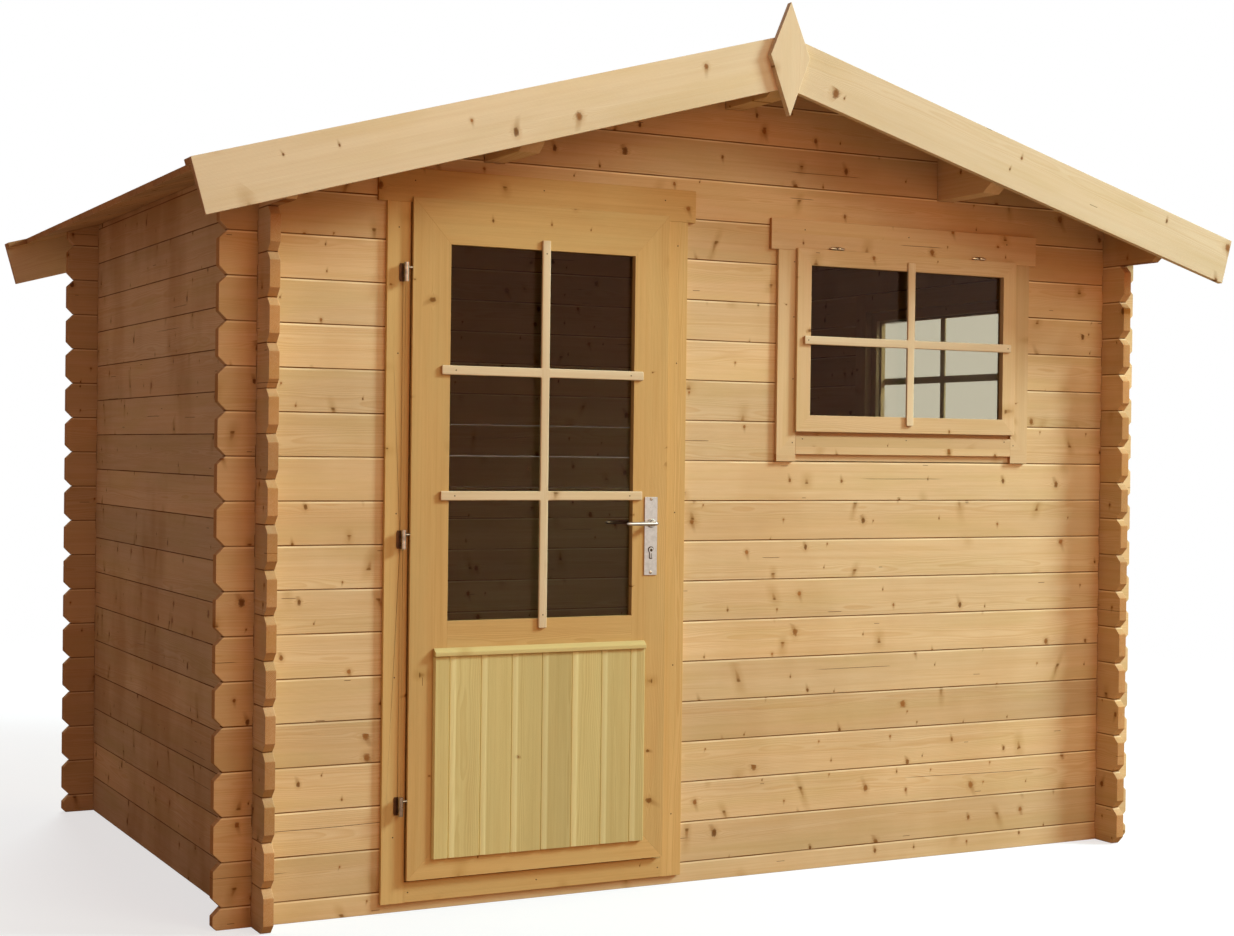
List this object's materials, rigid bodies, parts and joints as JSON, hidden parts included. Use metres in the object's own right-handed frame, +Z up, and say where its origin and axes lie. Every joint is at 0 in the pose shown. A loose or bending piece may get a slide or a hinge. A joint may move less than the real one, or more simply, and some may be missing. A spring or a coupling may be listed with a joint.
{
  "type": "garden log cabin",
  "caption": "Small timber garden cabin of interlocking logs with a shallow gable roof, a half-glazed hinged door and fixed casement windows.",
  "frame": {"origin": "on the ground at the middle of the footprint", "axes": "+X to the right along the front wall, +Y from the front wall to the back wall, +Z up; the front, with the door, faces -Y"},
  "size_m": [3.3, 2.386, 2.4522],
  "materials": {
    "log_pine": "planed bare softwood",
    "pale_pine": "planed bare pale softwood",
    "joinery_pine": "planed bare softwood joinery",
    "panel_pine": "planed bare softwood boarding",
    "glass": "clear",
    "hinge_metal": "dull dark plated steel",
    "handle_metal": "satin"
  },
  "bodies": {
    "cabin": {"front_wall_lower": "log_pine", "front_wall_left": "log_pine", "front_wall_middle": "log_pine", "front_wall_corner": "log_pine", "front_gable": "log_pine", "back_wall": "log_pine", "back_gable": "log_pine", "left_wall": "log_pine", "right_wall_lower": "log_pine", "right_wall_front": "log_pine", "right_wall_back": "log_pine", "eave_logs": "log_pine", "purlins": "log_pine", "roof_left": "log_pine", "roof_right": "log_pine", "front_barge_boards": "pale_pine", "back_barge_boards": "pale_pine", "finials": "pale_pine", "floor_bearers": "log_pine", "floor_boards": "log_pine", "door_jambs": "joinery_pine", "door_head": "joinery_pine", "door_head_board": "joinery_pine", "door_sill": "joinery_pine", "door_hinge_pins": "hinge_metal", "front_window_frame": "joinery_pine", "front_window_boards": "joinery_pine", "front_window_casement": "joinery_pine", "front_window_glass": "glass", "front_window_bars": "pale_pine", "side_window_frame": "joinery_pine", "side_window_boards": "joinery_pine", "side_window_casement": "joinery_pine", "side_window_glass": "glass", "side_window_bars": "pale_pine"},
    "door": {"door_stiles": "joinery_pine", "door_rails": "joinery_pine", "door_glass": "glass", "door_bars": "pale_pine", "door_panel": "panel_pine", "door_moulding": "panel_pine", "door_hinge_knuckles": "hinge_metal", "door_handle_plates": "handle_metal"},
    "lever": {"door_levers": "handle_metal"}
  },
  "joints": [
    {"name": "door_swing", "type": "hinge", "parent": "cabin", "child": "door", "pos_m": [-1.008, -0.928, 0.9825], "axis": [0, 0, -1], "range_deg": [0, 120]},
    {"name": "lever_turn", "type": "hinge", "parent": "door", "child": "lever", "pos_m": [-0.273, -0.907, 1.021], "axis": [0, -1, 0], "range_deg": [0, 40], "stiffness_Nm_per_rad": 1, "springref_deg": -17.19}
  ]
}
